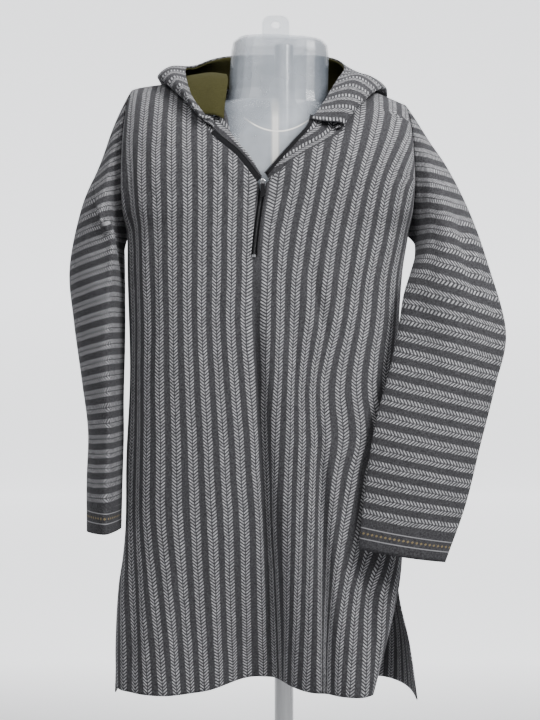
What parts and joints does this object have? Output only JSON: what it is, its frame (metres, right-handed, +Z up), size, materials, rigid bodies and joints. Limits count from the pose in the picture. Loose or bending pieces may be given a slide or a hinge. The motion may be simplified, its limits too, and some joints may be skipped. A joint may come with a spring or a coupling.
{
  "type": "hooded pheran with a short front zip, worn by a limbless dress form on a pole and base",
  "caption": "Long striped wool pheran with a laid-back hood, wide sleeves and side slits, standing on a plain clear torso form.",
  "frame": {"origin": "centre of the base plate's underside, on the floor", "axes": "+Z up along the pole, -Y out of the garment's front, +X to the wearer's left"},
  "size_m": [0.7095, 0.37, 1.545],
  "materials": {
    "tweed": "napped wool twill",
    "fleece": "napped fleece",
    "zip_tape": "matt woven",
    "zip_metal": "plated",
    "clear_plastic": "frosted",
    "steel": "satin chrome"
  },
  "bodies": {
    "garment": {"front": "tweed", "back": "tweed", "sleeve_right": "tweed", "sleeve_left": "tweed", "hood_right": "tweed", "hood_left": "tweed", "hood_lining_right": "fleece", "hood_lining_left": "fleece", "band_right": "tweed", "band_left": "tweed", "zip_tape_right": "zip_tape", "zip_tape_left": "zip_tape", "zip_chain": "zip_tape", "zip_slider": "zip_metal", "zip_stop": "zip_metal", "form_torso": "clear_plastic", "form_lug": "clear_plastic", "pole": "steel", "pole_collar": "steel", "base_plate": "steel"},
    "pull_tab": {"zip_pull": "zip_tape"}
  },
  "joints": [
    {"name": "pull_tab_swing", "type": "hinge", "parent": "garment", "child": "pull_tab", "pos_m": [-0.035, -0.1328, 1.243], "axis": [-1, 0, 0], "range_deg": [0, 150]}
  ]
}
